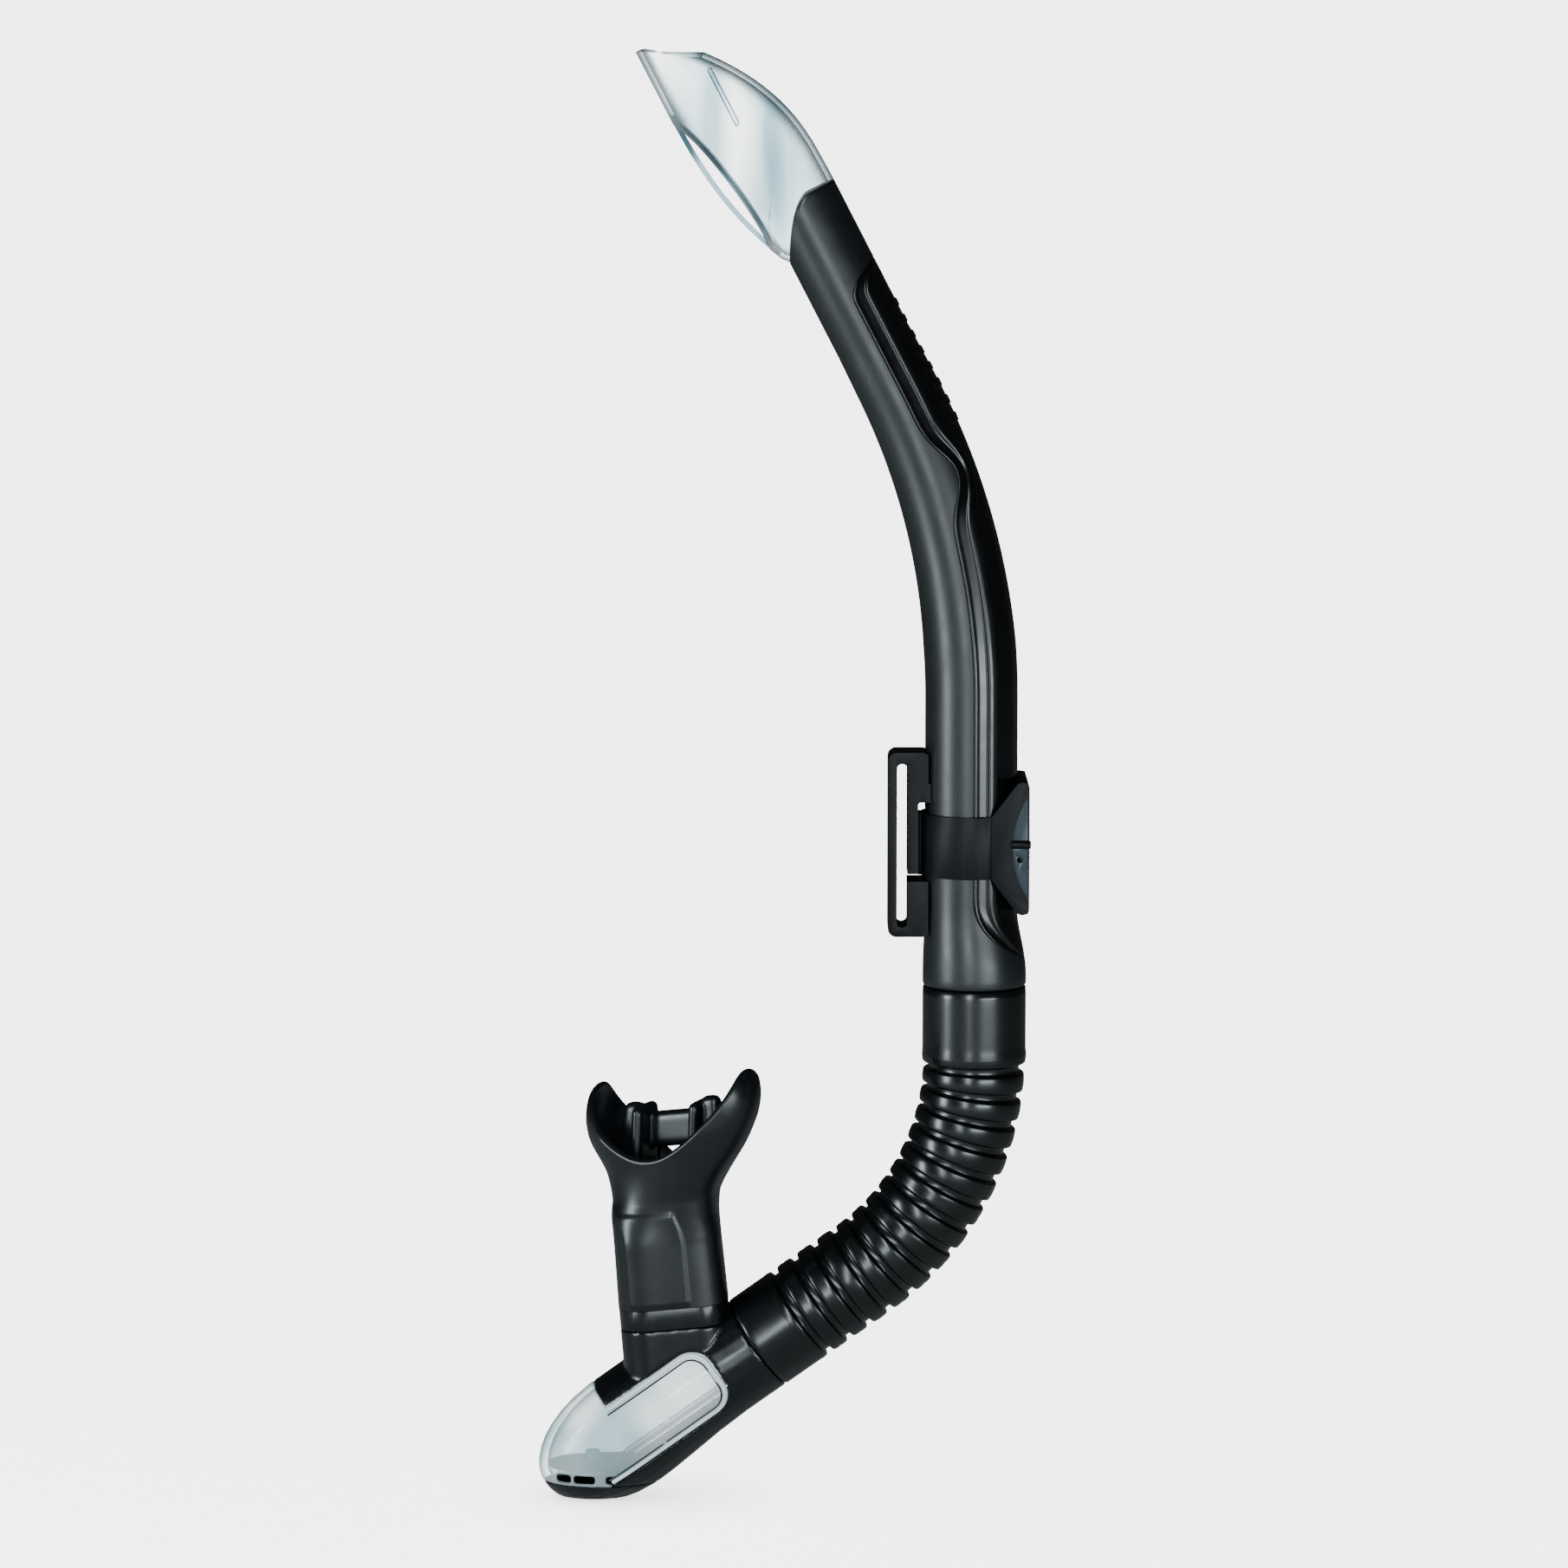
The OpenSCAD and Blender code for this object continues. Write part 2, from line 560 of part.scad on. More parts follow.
module valve_plate() {
    color("#0f1011") difference() {
        intersection() {
            pod(2.05, 3);
            above(deck_z - deck_t);
            below(deck_z);
        }
        translate([seat_x, 0, deck_z]) {
            cylinder(r = 1.5, h = 10, center = true, $fn = 32);
            for (k = [0 : 5]) rotate([0, 0, 60 * k + 30]) translate([port_ring, 0, 0])
                cylinder(r = 2, h = 10, center = true, $fn = 32);
        }
    }
}
valve_r = 8.4;
module purge_valve() {
    color("#4a4f54") translate([seat_x, 0, deck_z - deck_t]) {
        translate([0, 0, -1]) cylinder(r = valve_r, h = 0.9, $fn = 64);
        translate([0, 0, -1]) cylinder(r = 1.4, h = deck_t + 4.2, $fn = 32);
        translate([0, 0, deck_t + 2]) cylinder(r = 2.1, h = 1.2, $fn = 32);
    }
}
module exhaust_cap() {
    color("#17181a") difference() {
        intersection() {
            pod(0);
            above(base_z);
            below(vent_z - 0.1);
        }
        intersection() {
            pod(pod_wall, 3);
            above(base_z + 1.8);
        }
    }
}

// ---- mouthpiece ----
module mouthpiece_band() {
    color("#26292c") difference() {
        neck(0.1, band_low + 0.1, -0.1);
        neck(spigot_t - fit, band_low - 1, 1);
        pod(-0.1);
    }
}
mouth_cols = 36;
lobe_v = 65.5;                                            // height of the side lobes
dip_v = 44.1;                                            // height of the dips over the lips
far_drop = 7;                                            // the far dip is lower than the near one
flange_tilt = 6;                                         // further lean of the flange, in degrees
function sgn_pow(v, k) = sign(v) * pow(abs(v), k);
// Centre of the section at height v: it leans over the neck and comes back under the flange
function mouth_c(v) = -tan(lean) * (min(v, 26) - 26 * ease(ramp(v, 27, 46)));
function mouth_hx(v) = neck_w / 2 - 0.5 * ramp(v, 0, 26)
    + (flange_half_w + 0.5 - neck_w / 2) * pow(sin(90 * ramp(v, mouth_neck_h - 7, 58)), 1.5)
    - 3.4 * pow(ramp(v, 58, 68), 2);
function mouth_hy(v) = neck_d / 2 + 4.2 * pow(ramp(v, mouth_neck_h - 7, 52), 1.2);
function mouth_k(v) = 0.62 + 0.3 * ramp(v, 20, 40);
// A section lies in the plane of the leaning neck, and leans a little more at the flange
function mouth_dz(x, v) = x * sin(lean + flange_tilt * ramp(v, 24, 50));
function mouth_turn(v) = -flange_turn * ease(ramp(v, 18, 42));
// The rim is high over the lobes and low over the lips
function rim_v(c) = (lobe_v + dip_v) / 2 + (lobe_v - dip_v) / 2 * cos(2 * c)
    - far_drop * pow(max(0, sin(c)), 2);
// Takes a point of the section at height v to its place
function mouth_place(x, y, v) = let (a = mouth_turn(v), gx = x * cos(a) - y * sin(a))
    [mouth_x + mouth_c(v) + gx, x * sin(a) + y * cos(a), mouth_z0 + v + mouth_dz(gx, v)];
function mouth_pt(f, c, t) = let (v = f < 0.5 ? 2 * f * 30 : 30 + (2 * f - 1) * (rim_v(c) - 30))
    mouth_place((mouth_hx(v) - t) * sgn_pow(cos(c), mouth_k(v)),
        (mouth_hy(v) - t) * sgn_pow(sin(c), mouth_k(v)), v);
function mouth_ring(f, t) = [for (j = [0 : mouth_cols - 1]) mouth_pt(f, 360 * j / mouth_cols + 0.01, t)];
mouth_f = [0, 0.2, 0.44, 0.58, 0.67, 0.76, 0.84, 0.92, 1];
mouth_wall = 2.2;
foot_wall = 4;
module mouthpiece() {
    color("#131417") difference() {
        ring_mesh(concat(
            [for (f = mouth_f) mouth_ring(f, 0)],
            [for (i = [len(mouth_f) - 1 : -1 : 0]) mouth_ring(mouth_f[i], i < 3 ? foot_wall : mouth_wall)]));
        neck(spigot_t - fit, -3, spigot_top + fit);
    }
}
tab_lo = 38;                                             // the tabs grow out of the flange's wall
tab_hi = 60;
tab_x = 12.9;                                            // centre of a bite tab, across the mouth
tab_half = 3.3;
tab_t = 4.6;                                             // thickness between the teeth
tab_root = 2.2;                                          // how far a tab's foot reaches into the wall
lug_lo = 40;
lug_hi = 59;
lug_x = 9.6;
lug_half = 1.8;
lug_h = 12;                                              // height of the lug behind the teeth
bar_r = 2.2;
bar_lo = 47.5;
bar_hi = 54;
bar_y = 2.4;                                             // the bar stands behind the teeth
// Rounded plate of half-width w and thickness t, from v0 to v1, with its foot longer by root
module bite_plate(side, x, w, t, v0, v1, root) {
    r = min(w, t / 2);
    hull() for (dy = [r - t / 2, t / 2 - r],
            c = [[r - w, v0 + r], [w - r + root, v0 + r], [w - r, v1 - r], [r - w, v1 - r]])
        translate(mouth_place(side * (x + c[0]), dy, c[1])) sphere(r, $fn = 16);
}
module bite_arch() {
    color("#131417") {
        for (side = [-1, 1]) {
            bite_plate(side, tab_x, tab_half, tab_t, tab_lo, tab_hi, tab_root);
            bite_plate(side, lug_x, lug_half, lug_h, lug_lo, lug_hi, 0);
        }
        hull() for (x = [-lug_x, lug_x], v = [bar_lo, bar_hi]) translate(mouth_place(x, bar_y, v))
            sphere(bar_r, $fn = 16);
    }
}

barrel();
back_inlay();
splash_guard();
splash_baffle();
upper_hose_connector();
keeper_loop();
keeper_band();
keeper_lock_plate();
keeper_pegs();
hose_upper_cuff();
hose_link_1();
hose_link_2();
hose_link_3();
hose_link_4();
hose_link_5();
hose_lower_cuff();
lower_hose_connector();
purge_housing();
reservoir_cover();
valve_plate();
purge_valve();
exhaust_cap();
mouthpiece_band();
mouthpiece();
bite_arch();
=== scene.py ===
import bmesh
import bpy
import math
from math import cos, pi, radians, sin
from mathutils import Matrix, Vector


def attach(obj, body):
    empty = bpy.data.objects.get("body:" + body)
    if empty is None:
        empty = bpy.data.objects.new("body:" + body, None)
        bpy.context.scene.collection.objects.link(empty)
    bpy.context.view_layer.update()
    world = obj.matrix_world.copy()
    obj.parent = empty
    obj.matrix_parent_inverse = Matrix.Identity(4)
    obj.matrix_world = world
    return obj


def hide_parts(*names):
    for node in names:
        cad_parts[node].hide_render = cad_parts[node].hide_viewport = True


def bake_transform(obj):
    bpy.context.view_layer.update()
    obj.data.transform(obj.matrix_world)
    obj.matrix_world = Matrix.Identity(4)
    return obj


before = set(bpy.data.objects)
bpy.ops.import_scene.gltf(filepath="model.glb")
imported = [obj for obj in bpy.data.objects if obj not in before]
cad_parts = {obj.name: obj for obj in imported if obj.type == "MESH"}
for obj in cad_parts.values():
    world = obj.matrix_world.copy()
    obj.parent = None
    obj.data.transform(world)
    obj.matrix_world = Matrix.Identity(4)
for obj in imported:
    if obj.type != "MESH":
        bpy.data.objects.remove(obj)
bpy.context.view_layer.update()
MM = 0.001

# Lengths below are in millimetres unless a name ends in _m.
# Barrel: a straight run, a bend and a straight run up to the guard
AXIS_X = 20.0
BEND_START = 42.5
BEND_R = 195.0
BEND = radians(27.3)
BEND_END = BEND_START + BEND_R * BEND
GUARD_S = BEND_END + 61.0
GUARD_TOP = GUARD_S + 60.0
END_X = AXIS_X - BEND_R * (1 - cos(BEND))
END_Z = BEND_START + BEND_R * sin(BEND)
FOOT_Z = -41.3
BARREL_R = 13.35
TOP_R = 11.1             # at the guard, past the taper
FOOT_FLARE = 1.65        # what the foot adds to the radius
FOOT_SHIFT = 1.1         # how far back the foot's centre lies
WALL = 1.9
SOCKET_TOP = -29.0
SOCKET_R = 11.7
SEAM_DROP = 15.5         # the seam with the guard is lower at the front by this
SEAM_FLAT = 2.7
# Inlay down the back; angles in degrees
INLAY_LO = -33.0
INLAY_HI = 171.41
INLAY_LOW_END = 18       # length of its rounded lower end
INLAY_TOP_END = 9
INLAY_HALF = 89
INLAY_LEAST = 9
WAIST_S = 107            # where it narrows
WAIST_LEN = 9
WAIST_HALF = 30
FULL_REACH = 15.5        # half width from which its edge has its full shape
POCKET_DEPTH = 0.95
POCKET_COLS = 56
GRIP_LO, GRIP_HI, GRIPS = 121, 157, 8
# Hose
HOSE_X = 21.1
HOSE_Z = -62.7
HOSE_R = 77.0
HOSE_BEND = radians(54.6)
HOSE_RUN = HOSE_R * HOSE_BEND
GROOVES = 14
RIB_PITCH = 7.096
GROOVE_0 = 2.419
RIB_R = 14.7
ROOT_R = 13.1
BORE_R = 11.2
CUFF_R = 15.0
CUFF_TOP = HOSE_Z + 41.6
HOSE_END = 37.2
# Mouthpiece
MOUTH_X = -66.2
MOUTH_Z = -134.8
LEAN = radians(5)
FLANGE_TILT = radians(6)
FLANGE_TURN = radians(30)
FLANGE_HALF = 27.5
LOBE_V = 65.5
DIP_V = 44.1
FAR_DROP = 7.0
MOUTH_WALL = 2.2
NECK_HALF_X = 16
NECK_HALF_Y = 12.5


def clamp(v, lo, hi):
    return min(max(v, lo), hi)


def ramp(v, lo, hi):
    return clamp((v - lo) / (hi - lo), 0.0, 1.0)


def ease(t):
    return t * t * (3 - 2 * t)


def sgn_pow(a, k):
    return math.copysign(abs(a) ** k, a)


def quarter_round(t):
    return math.sqrt(max(0.0, 1 - (1 - t) ** 2))


def span(lo, hi, n):
    return [lo + (hi - lo) * i / (n - 1) for i in range(n)]


# ---- meshes ----
def put(name, data):
    ob = bpy.data.objects.new(name, data)
    bpy.context.scene.collection.objects.link(ob)
    return ob


def round_edges(ob, width, segments, sharper_than):
    m = ob.modifiers.new("edges", "BEVEL")
    m.width = width * MM
    m.segments = segments
    m.limit_method = "ANGLE"
    m.angle_limit = radians(sharper_than)
    return m


def tidy(ob, angle=35, merge=0.002):
    bm = bmesh.new()
    bm.from_mesh(ob.data)
    bmesh.ops.remove_doubles(bm, verts=bm.verts, dist=merge * MM)
    bmesh.ops.dissolve_degenerate(bm, edges=bm.edges, dist=merge * MM / 2)
    bmesh.ops.recalc_face_normals(bm, faces=bm.faces)
    bm.to_mesh(ob.data)
    bm.free()
    for face in ob.data.polygons:
        face.use_smooth = True
    ob.data.set_sharp_from_angle(angle=radians(angle))
    return ob


def skin(name, rings, wrap=True, loop=False, caps=False, angle=35):
    """A mesh over rings of points; loop joins the last ring to the first, wrap joins the columns."""
    n, m = len(rings), len(rings[0])
    points = [(x * MM, y * MM, z * MM) for ring in rings for x, y, z in ring]
    faces = []
    for i in range(n if loop else n - 1):
        j = (i + 1) % n
        for k in range(m if wrap else m - 1):
            l = (k + 1) % m
            faces.append((i * m + k, i * m + l, j * m + l, j * m + k))
    if caps:
        faces.append(tuple(reversed(range(m))))
        faces.append(tuple((n - 1) * m + k for k in range(m)))
    mesh = bpy.data.meshes.new(name)
    mesh.from_pydata(points, [], faces)
    return tidy(put(name, mesh), angle)


def refined(node, bevel=0.0, voxel=0.0, smooth=0):
    """A copy of a CAD node with rounded edges, by a bevel or by a fine skin that is then smoothed."""
    ob = put(node + ".look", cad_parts[node].data.copy())
    ob.data.materials.clear()
    bm = bmesh.new()
    bm.from_mesh(ob.data)
    bmesh.ops.remove_doubles(bm, verts=bm.verts, dist=0.002 * MM)
    if bevel:
        bmesh.ops.dissolve_limit(bm, angle_limit=radians(0.6), verts=bm.verts, edges=bm.edges)
    bmesh.ops.recalc_face_normals(bm, faces=bm.faces)
    bm.to_mesh(ob.data)
    bm.free()
    for face in ob.data.polygons:
        face.use_smooth = True
    if voxel:
        m = ob.modifiers.new("skin", "REMESH")
        m.mode = "VOXEL"
        m.voxel_size = voxel * MM
        m.use_smooth_shade = True
        m = ob.modifiers.new("ease", "SMOOTH")
        m.factor = 0.5
        m.iterations = smooth
    if bevel:
        round_edges(ob, bevel, 3, 40).harden_normals = True
    return ob


def dress(ob, material, body=None, nodes=()):
    ob.data.materials.append(material)
    if body:
        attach(ob, body)
    if nodes:
        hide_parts(*nodes)
    return ob


# ---- materials ----
def node_tree(name):
    mat = bpy.data.materials.new(name)
    mat.use_nodes = True
    nodes, links = mat.node_tree.nodes, mat.node_tree.links
    return mat, nodes, links, nodes["Principled BSDF"], nodes["Material Output"]


def noise(nodes, links, scale, detail=3.0, stretch=(1, 1, 1)):
    coords = nodes.new("ShaderNodeTexCoord")
    place = nodes.new("ShaderNodeMapping")
    place.inputs["Scale"].default_value = stretch
    tex = nodes.new("ShaderNodeTexNoise")
    tex.inputs["Scale"].default_value = scale
    tex.inputs["Detail"].default_value = detail
    links.new(coords.outputs["Object"], place.inputs["Vector"])
    links.new(place.outputs["Vector"], tex.inputs["Vector"])
    return tex.outputs["Fac"]


def between(nodes, links, fac, lo, hi):
    m = nodes.new("ShaderNodeMapRange")
    m.inputs["From Min"].default_value = 0.3
    m.inputs["From Max"].default_value = 0.7
    m.inputs["To Min"].default_value = lo
    m.inputs["To Max"].default_value = hi
    links.new(fac, m.inputs["Value"])
    return m.outputs["Result"]


def shades(nodes, links, fac, low, high, a=0.3, b=0.7):
    r = nodes.new("ShaderNodeValToRGB")
    r.color_ramp.elements[0].position = a
    r.color_ramp.elements[1].position = b
    r.color_ramp.elements[0].color = (*low, 1)
    r.color_ramp.elements[1].color = (*high, 1)
    links.new(fac, r.inputs["Fac"])
    return r.outputs["Color"]


def moulded(name, low, high, rough, grain=900.0, bump=0.015, spec=0.28):
    """Moulded rubber or plastic: a faint mottle in colour and gloss over a fine grain."""
    mat, nodes, links, bsdf, _ = node_tree(name)
    mottle = noise(nodes, links, 70.0)
    links.new(shades(nodes, links, mottle, low, high), bsdf.inputs["Base Color"])
    links.new(between(nodes, links, noise(nodes, links, 160.0), *rough), bsdf.inputs["Roughness"])
    bsdf.inputs["Specular IOR Level"].default_value = spec
    relief = nodes.new("ShaderNodeBump")
    relief.inputs["Strength"].default_value = bump
    relief.inputs["Distance"].default_value = 0.01 * MM
    links.new(noise(nodes, links, grain, 2.0), relief.inputs["Height"])
    links.new(relief.outputs["Normal"], bsdf.inputs["Normal"])
    return mat


def clear(name, gloss, edge, streak, pale=(0.99, 1, 1), stretch=(1, 1, 0.2), scale=70.0,
          turn_at=(0.30, 0.95)):
    """Clear plastic: light passes where it faces the eye and is held back, grey-cyan, where it turns away.
    Grey-cyan streaks from stretched noise are painted reflections, tinting both its colour and what it lets
    through.
    """
    mat, nodes, links, bsdf, out = node_tree(name)
    # painted reflections: noise streaks from the streak colour to the pale colour
    painted_reflection_streaks = shades(nodes, links, noise(nodes, links, scale, 1.0, stretch), streak, pale, 0.36, 0.56)
    links.new(painted_reflection_streaks, bsdf.inputs["Base Color"])
    links.new(between(nodes, links, noise(nodes, links, 120.0), 0.05, 0.10), bsdf.inputs["Roughness"])
    bsdf.inputs["Specular IOR Level"].default_value = 0.6
    turn = nodes.new("ShaderNodeLayerWeight")
    turn.inputs["Blend"].default_value = 0.5
    body = nodes.new("ShaderNodeMapRange")
    body.interpolation_type = "SMOOTHSTEP"
    body.inputs["From Min"].default_value, body.inputs["From Max"].default_value = turn_at
    links.new(turn.outputs["Facing"], body.inputs["Value"])
    held = shades(nodes, links, body.outputs["Result"], (1, 1, 1), edge, 0.0, 1.0)
    tint = nodes.new("ShaderNodeMix")
    tint.data_type = "RGBA"
    tint.blend_type = "MULTIPLY"
    tint.inputs["Factor"].default_value = 1.0
    links.new(held, tint.inputs["A"])
    links.new(painted_reflection_streaks, tint.inputs["B"])
    see = nodes.new("ShaderNodeBsdfTransparent")
    links.new(tint.outputs["Result"], see.inputs["Color"])
    share = nodes.new("ShaderNodeMapRange")
    share.inputs["To Min"].default_value, share.inputs["To Max"].default_value = gloss
    links.new(body.outputs["Result"], share.inputs["Value"])
    mix = nodes.new("ShaderNodeMixShader")
    links.new(share.outputs["Result"], mix.inputs["Fac"])
    links.new(see.outputs["BSDF"], mix.inputs[1])
    links.new(bsdf.outputs["BSDF"], mix.inputs[2])
    links.new(mix.outputs["Shader"], out.inputs["Surface"])
    return mat


SATIN = moulded("barrel_satin", (0.0045, 0.006, 0.007), (0.0065, 0.008, 0.0095), (0.34, 0.40), 1500.0, 0.03,
                spec=0.5)
INLAY = moulded("inlay_soft", (0.0015, 0.0018, 0.002), (0.0028, 0.003, 0.0035), (0.22, 0.28), spec=0.4)
RUBBER = moulded("hose_rubber", (0.0012, 0.0018, 0.002), (0.0022, 0.003, 0.0034), (0.22, 0.28), spec=0.45)
KEEPER = moulded("keeper_rubber", (0.0008, 0.001, 0.0018), (0.0016, 0.002, 0.0032), (0.42, 0.5), spec=0.16)
PLATE = moulded("lock_plate_plastic", (0.016, 0.026, 0.034), (0.022, 0.034, 0.044), (0.24, 0.32))
HOUSING = moulded("housing_black", (0.0015, 0.0022, 0.0026), (0.0028, 0.0038, 0.0044), (0.22, 0.30), spec=0.4)
SILICONE = moulded("mouth_silicone", (0.0025, 0.0035, 0.005), (0.004, 0.0052, 0.007), (0.28, 0.36), spec=0.45)
SLEEVE = moulded("connector_plastic", (0.006, 0.007, 0.008), (0.010, 0.012, 0.013), (0.35, 0.45))
VALVE = moulded("valve_silicone", (0.50, 0.54, 0.55), (0.60, 0.64, 0.65), (0.35, 0.45))
# The third colour of each clear plastic is its painted reflection streaks; the second is its tint where it
# turns away.
CLEAR = clear("clear_plastic", (0.06, 0.4), (0.09, 0.15, 0.17), (0.58, 0.70, 0.735), turn_at=(0.15, 0.88))
# A darker copy of the clear plastic, painted shade for the clear wall seen edge-on at the slot
SHADED_RIM = clear("clear_rim_painted_shade", (0.10, 0.4), (0.04, 0.075, 0.085), (0.13, 0.20, 0.23), pale=(0.42, 0.54, 0.58))
WINDOW = clear("clear_window", (0.32, 0.5), (0.20, 0.30, 0.32), (0.62, 0.74, 0.77), stretch=(1, 1, 1),
               scale=45.0)
LINE = moulded("seal_line", (0.010, 0.016, 0.018), (0.016, 0.024, 0.026), (0.3, 0.4))
PANE = moulded("vent_pane", (0.62, 0.70, 0.72), (0.74, 0.80, 0.82), (0.2, 0.3))


# ---- barrel ----
def tilt(s):
    return clamp((s - BEND_START) / BEND_R, 0.0, BEND)


def along(s, p, q):
    """The point at arc length s, offset p towards the back and q across the bend's plane."""
    t = tilt(s)
    if s < BEND_START:
        x, z = AXIS_X, s
    elif s < BEND_END:
        x, z = AXIS_X - BEND_R * (1 - cos(t)), BEND_START + BEND_R * sin(t)
    else:
        x, z = END_X - (s - BEND_END) * sin(BEND), END_Z + (s - BEND_END) * cos(BEND)
    return (x + p * cos(t), q, z + p * sin(t))


def flare(s):
    """How far the foot has flared, 0 to 1."""
    return ease(ramp(-s, 18, 38))


def outer_r(s):
    return BARREL_R + FOOT_FLARE * flare(s) - (BARREL_R - TOP_R) * ramp(s, 58, 150)


def bore_r(s):
    return SOCKET_R if s < SOCKET_TOP else outer_r(max(s, -18.0)) - WALL


def seam(c):
    """Where the barrel meets the guard, c round from the back."""
    return GUARD_S - SEAM_DROP * (max(0.0, SEAM_FLAT - TOP_R * cos(c)) / (SEAM_FLAT + TOP_R)) ** 1.7


def inlay_half(s):
    """Half the angle that the inlay covers, in radians."""
    low = quarter_round(ramp(s, INLAY_LO, INLAY_LO + INLAY_LOW_END))
    top = quarter_round(ramp(-s, -INLAY_HI, INLAY_TOP_END - INLAY_HI))
    waist = WAIST_HALF * math.exp(-(((s - WAIST_S) / WAIST_LEN) ** 2))
    return radians(max(INLAY_LEAST, INLAY_HALF * low * top - waist))


def on_barrel(s, c, r):
    """The point at arc length s, c round from the back, r from the barrel's own centre."""
    return along(s, FOOT_SHIFT * flare(s) + r * cos(c), r * sin(c))


def barrel_stations():
    s = [INLAY_LO - 0.06, INLAY_LO] + [INLAY_LO + INLAY_LOW_END * (i / 22) ** 2 for i in range(1, 23)]
    s += span(-12, 156, 85) + [INLAY_HI - INLAY_TOP_END * (i / 18) ** 2 for i in range(18, -1, -1)]
    return s + [INLAY_HI + 0.06]


def barrel():
    """The tube, from its foot up the outside with the inlay's pocket, over the seam and down the bore."""
    def columns(s):
        a = inlay_half(s)
        wall = radians(0.35)
        return span(-(a - wall), a - wall, POCKET_COLS) + span(a, 2 * pi - a, 72)

    rings = []
    for s, cut in ((FOOT_Z, 0.8), (FOOT_Z + 0.1, 0.42), (FOOT_Z + 0.35, 0.14), (FOOT_Z + 0.8, 0)):
        rings.append([on_barrel(s, c, outer_r(s) - cut) for c in columns(s)])
    for s in [-38.5, -36.5, -34.5] + barrel_stations():
        inside = INLAY_LO <= s <= INLAY_HI
        rings.append([on_barrel(s, c, outer_r(s) - (POCKET_DEPTH if inside and i < POCKET_COLS else 0))
                      for i, c in enumerate(columns(s))])
    last = INLAY_HI + 0.5
    for f in span(0.04, 1, 22):
        cols = columns(last)
        rings.append([on_barrel(last + f * (seam(c) - 0.3 - last), c, TOP_R) for c in cols])
    for cut, back in ((0.12, 0.12), (0.35, 0.0), (WALL, 0.0)):
        rings.append([on_barrel(seam(c) - back, c, TOP_R - cut) for c in columns(last)])
    for s in span(last, SOCKET_TOP + 0.1, 40) + [SOCKET_TOP - 0.01, FOOT_Z]:
        rings.append([on_barrel(s, c, bore_r(s)) for c in columns(s)])
    ob = skin("barrel.look", rings, loop=True, angle=40)
    return dress(ob, SATIN, "snorkel_barrel", ["barrel"])


def inlay():
    """The soft inlay: a rounded lip, a shallow channel, then a ridge, then a plain back."""
    marks = [0, 0.12, 0.3, 0.6, 0.9, 1.2, 2.2, 3.4, 3.9, 4.2, 4.6, 5.1, 5.8, 6.6, 7.1, 7.5, 7.9, 8.6, 9.6,
             11, 12.5, 14]

    def height(u):
        lip = -0.42 * (1 - quarter_round(ramp(u, 0, 0.6)))
        channel = -0.40 * ease(ramp(u, 0.8, 1.5)) * (1 - ease(ramp(u, 3.8, 4.6)))
        ridge = 0.38 * ease(ramp(u, 4.0, 5.0)) * (1 - ease(ramp(u, 7.2, 8.2)))
        return lip + channel + ridge

    rings = []
    for s in barrel_stations()[1:-1]:
        a = inlay_half(s) - radians(0.8)
        reach = a * outer_r(s)
        squeeze = min(1.0, reach / FULL_REACH)
        half = [(m * squeeze, height(m) * squeeze) for m in marks] + [(reach, height(marks[-1]) * squeeze)]
        ends = ease(ramp(min(s - INLAY_LO, INLAY_HI - s), 0, 0.5))
        r = outer_r(s) - 0.25 * (1 - ends)
        side = [on_barrel(s, a - u / outer_r(s), r + h) for u, h in half]
        other = [on_barrel(s, -a + u / outer_r(s), r + h) for u, h in reversed(half[:-1])]
        under = [on_barrel(s, c, outer_r(s) - 0.72) for c in span(-a, a, 30)]
        rings.append(side + other + under)
    ob = skin("back_inlay.look", rings, caps=True, angle=50)
    return dress(ob, INLAY, "snorkel_barrel", ["back_inlay"])


def grip_bars():
    """Generic raised bars on the back of the inlay, in place of the raised lettering."""
    half_s, half_c, rise = 1.35, radians(33), 0.45
    for i, s0 in enumerate(span(GRIP_LO, GRIP_HI, GRIPS)):
        top, under = [], []
        for u in span(-1, 1, 13):
            row, low = [], []
            for w in span(-1, 1, 25):
                edge = min((1 - abs(u)) * half_s, (1 - abs(w)) * half_c * 11.5)
                h = rise * quarter_round(ramp(edge, 0, 0.55))
                row.append(on_barrel(s0 + u * half_s, w * half_c, outer_r(s0) + h - 0.05))
                low.append(on_barrel(s0 + u * half_s, w * half_c, outer_r(s0) - 0.4))
            top.append(row)
            under.append(low)
        rings = [t + list(reversed(l)) for t, l in zip(top, under)]
        ob = skin(f"grip_bar_{i + 1}", rings, caps=True, angle=50)
        dress(ob, INLAY, "snorkel_barrel")


# ---- splash guard ----
SLOT_LO = GUARD_S - 9.0
SLOT_HI = GUARD_S + 34.0
RIM_Z = 227.0
FRONT_STRAIGHT = 237.41  # the front wall curves below this length and the back wall above the next
REAR_STRAIGHT = 205.41
GUARD_WALL = 1.6
VANE_FRONT, VANE_BACK, VANE_HALF = 0.15, 1.65, 1.1


def front_p(s):
    """The front wall's offset from the barrel's line."""
    return -22.6 + 11.2 * (max(0.0, FRONT_STRAIGHT - s) / 57) ** 2.6


def rear_p(s):
    """The back wall's offset from the barrel's line."""
    return 10.7 - 15.4 * (max(0.0, s - REAR_STRAIGHT) / 39) ** 2.1


def half_q(s):
    """Half the guard's width across the bend's plane."""
    return (TOP_R + 1.2 * ease(ramp(s, GUARD_S - 10, GUARD_S + 20))
            - 3.6 * ease(ramp(s, GUARD_S + 15, GUARD_TOP)))


def rim_p(s):
    """The slot's rim: its offset from the barrel's line."""
    return front_p(s) + 5.4 * max(0.0, sin(pi * ramp(s, SLOT_LO, SLOT_HI))) ** 0.6 - 0.4


